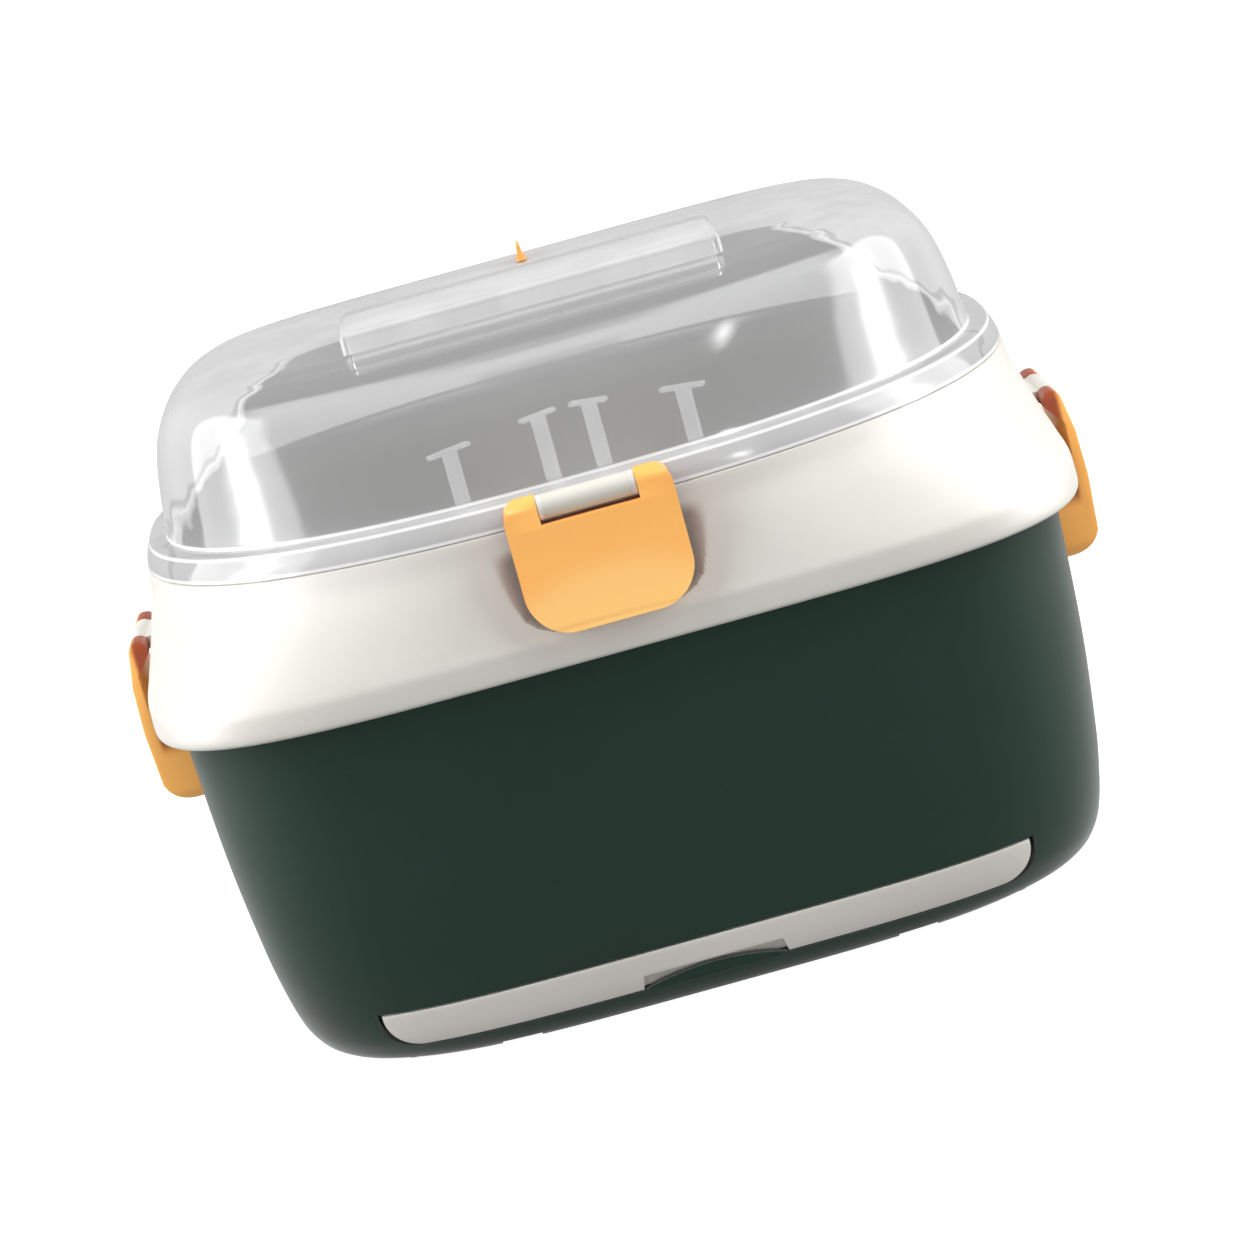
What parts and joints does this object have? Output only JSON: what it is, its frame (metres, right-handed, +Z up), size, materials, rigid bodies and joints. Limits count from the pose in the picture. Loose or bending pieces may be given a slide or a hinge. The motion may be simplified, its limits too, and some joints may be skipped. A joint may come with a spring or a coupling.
{
  "type": "baby bottle drying box",
  "caption": "Lidded drying box for baby bottles: tub with a drip drawer, lift-off collar, clear hinged lid, drain rack, bottle posts and flap latches.",
  "frame": {"origin": "middle of the footprint, on the surface that the feet stand on", "axes": "+Z up, -Y out of the front, where the drawer and the front latch are, +X to the right of someone facing the front"},
  "size_m": [0.356, 0.2541, 0.2558],
  "materials": {
    "green_plastic": "satin",
    "cream_plastic": "satin",
    "orange_plastic": "satin",
    "grey_plastic": "satin",
    "white_plastic": "satin",
    "clear_plastic": "clear",
    "seal_silicone": "matte",
    "plug_silicone": "matte",
    "foot_rubber": "matte",
    "pin_steel": "satin"
  },
  "bodies": {
    "base": {"tub": "green_plastic", "foot_front_left": "foot_rubber", "foot_front_right": "foot_rubber", "foot_rear_left": "foot_rubber", "foot_rear_right": "foot_rubber"},
    "drawer": {"drip_drawer": "grey_plastic"},
    "rack": {"drain_rack": "cream_plastic"},
    "left_posts": {"left_bottle_posts": "white_plastic"},
    "right_posts": {"right_bottle_posts": "white_plastic"},
    "collar": {"collar": "cream_plastic", "hinge_pin": "pin_steel", "left_latch_pin": "pin_steel", "right_latch_pin": "pin_steel"},
    "lid": {"lid": "clear_plastic", "lid_seal": "seal_silicone", "front_latch_pin": "pin_steel"},
    "front_latch": {"front_latch": "orange_plastic"},
    "left_latch": {"left_latch": "orange_plastic"},
    "right_latch": {"right_latch": "orange_plastic"},
    "plug": {"vent_plug": "plug_silicone"}
  },
  "joints": [
    {"name": "drawer_slide", "type": "slide", "parent": "base", "child": "drawer", "axis": [0, -1, 0], "range_m": [0, 0.15]},
    {"name": "rack_lift", "type": "slide", "parent": "base", "child": "rack", "axis": [0, 0, 1], "range_m": [0, 0.03]},
    {"name": "left_posts_lift", "type": "slide", "parent": "rack", "child": "left_posts", "axis": [0, 0, 1], "range_m": [0, 0.012]},
    {"name": "right_posts_lift", "type": "slide", "parent": "rack", "child": "right_posts", "axis": [0, 0, 1], "range_m": [0, 0.012]},
    {"name": "collar_lift", "type": "slide", "parent": "base", "child": "collar", "axis": [0, 0, 1], "range_m": [0, 0.12]},
    {"name": "lid_hinge", "type": "hinge", "parent": "collar", "child": "lid", "pos_m": [0, 0.1212, 0.1923], "axis": [-1, 0, 0], "range_deg": [0, 105]},
    {"name": "front_latch_swing", "type": "hinge", "parent": "lid", "child": "front_latch", "pos_m": [0, -0.1203, 0.1923], "axis": [-1, 0, 0], "range_deg": [0, 100]},
    {"name": "left_latch_swing", "type": "hinge", "parent": "collar", "child": "left_latch", "pos_m": [-0.1713, 0, 0.158], "axis": [0, 1, 0], "range_deg": [0, 95]},
    {"name": "right_latch_swing", "type": "hinge", "parent": "collar", "child": "right_latch", "pos_m": [0.1713, 0, 0.158], "axis": [0, -1, 0], "range_deg": [0, 95]},
    {"name": "plug_pull", "type": "slide", "parent": "lid", "child": "plug", "axis": [0, 0, 1], "range_m": [0, 0.008]}
  ]
}
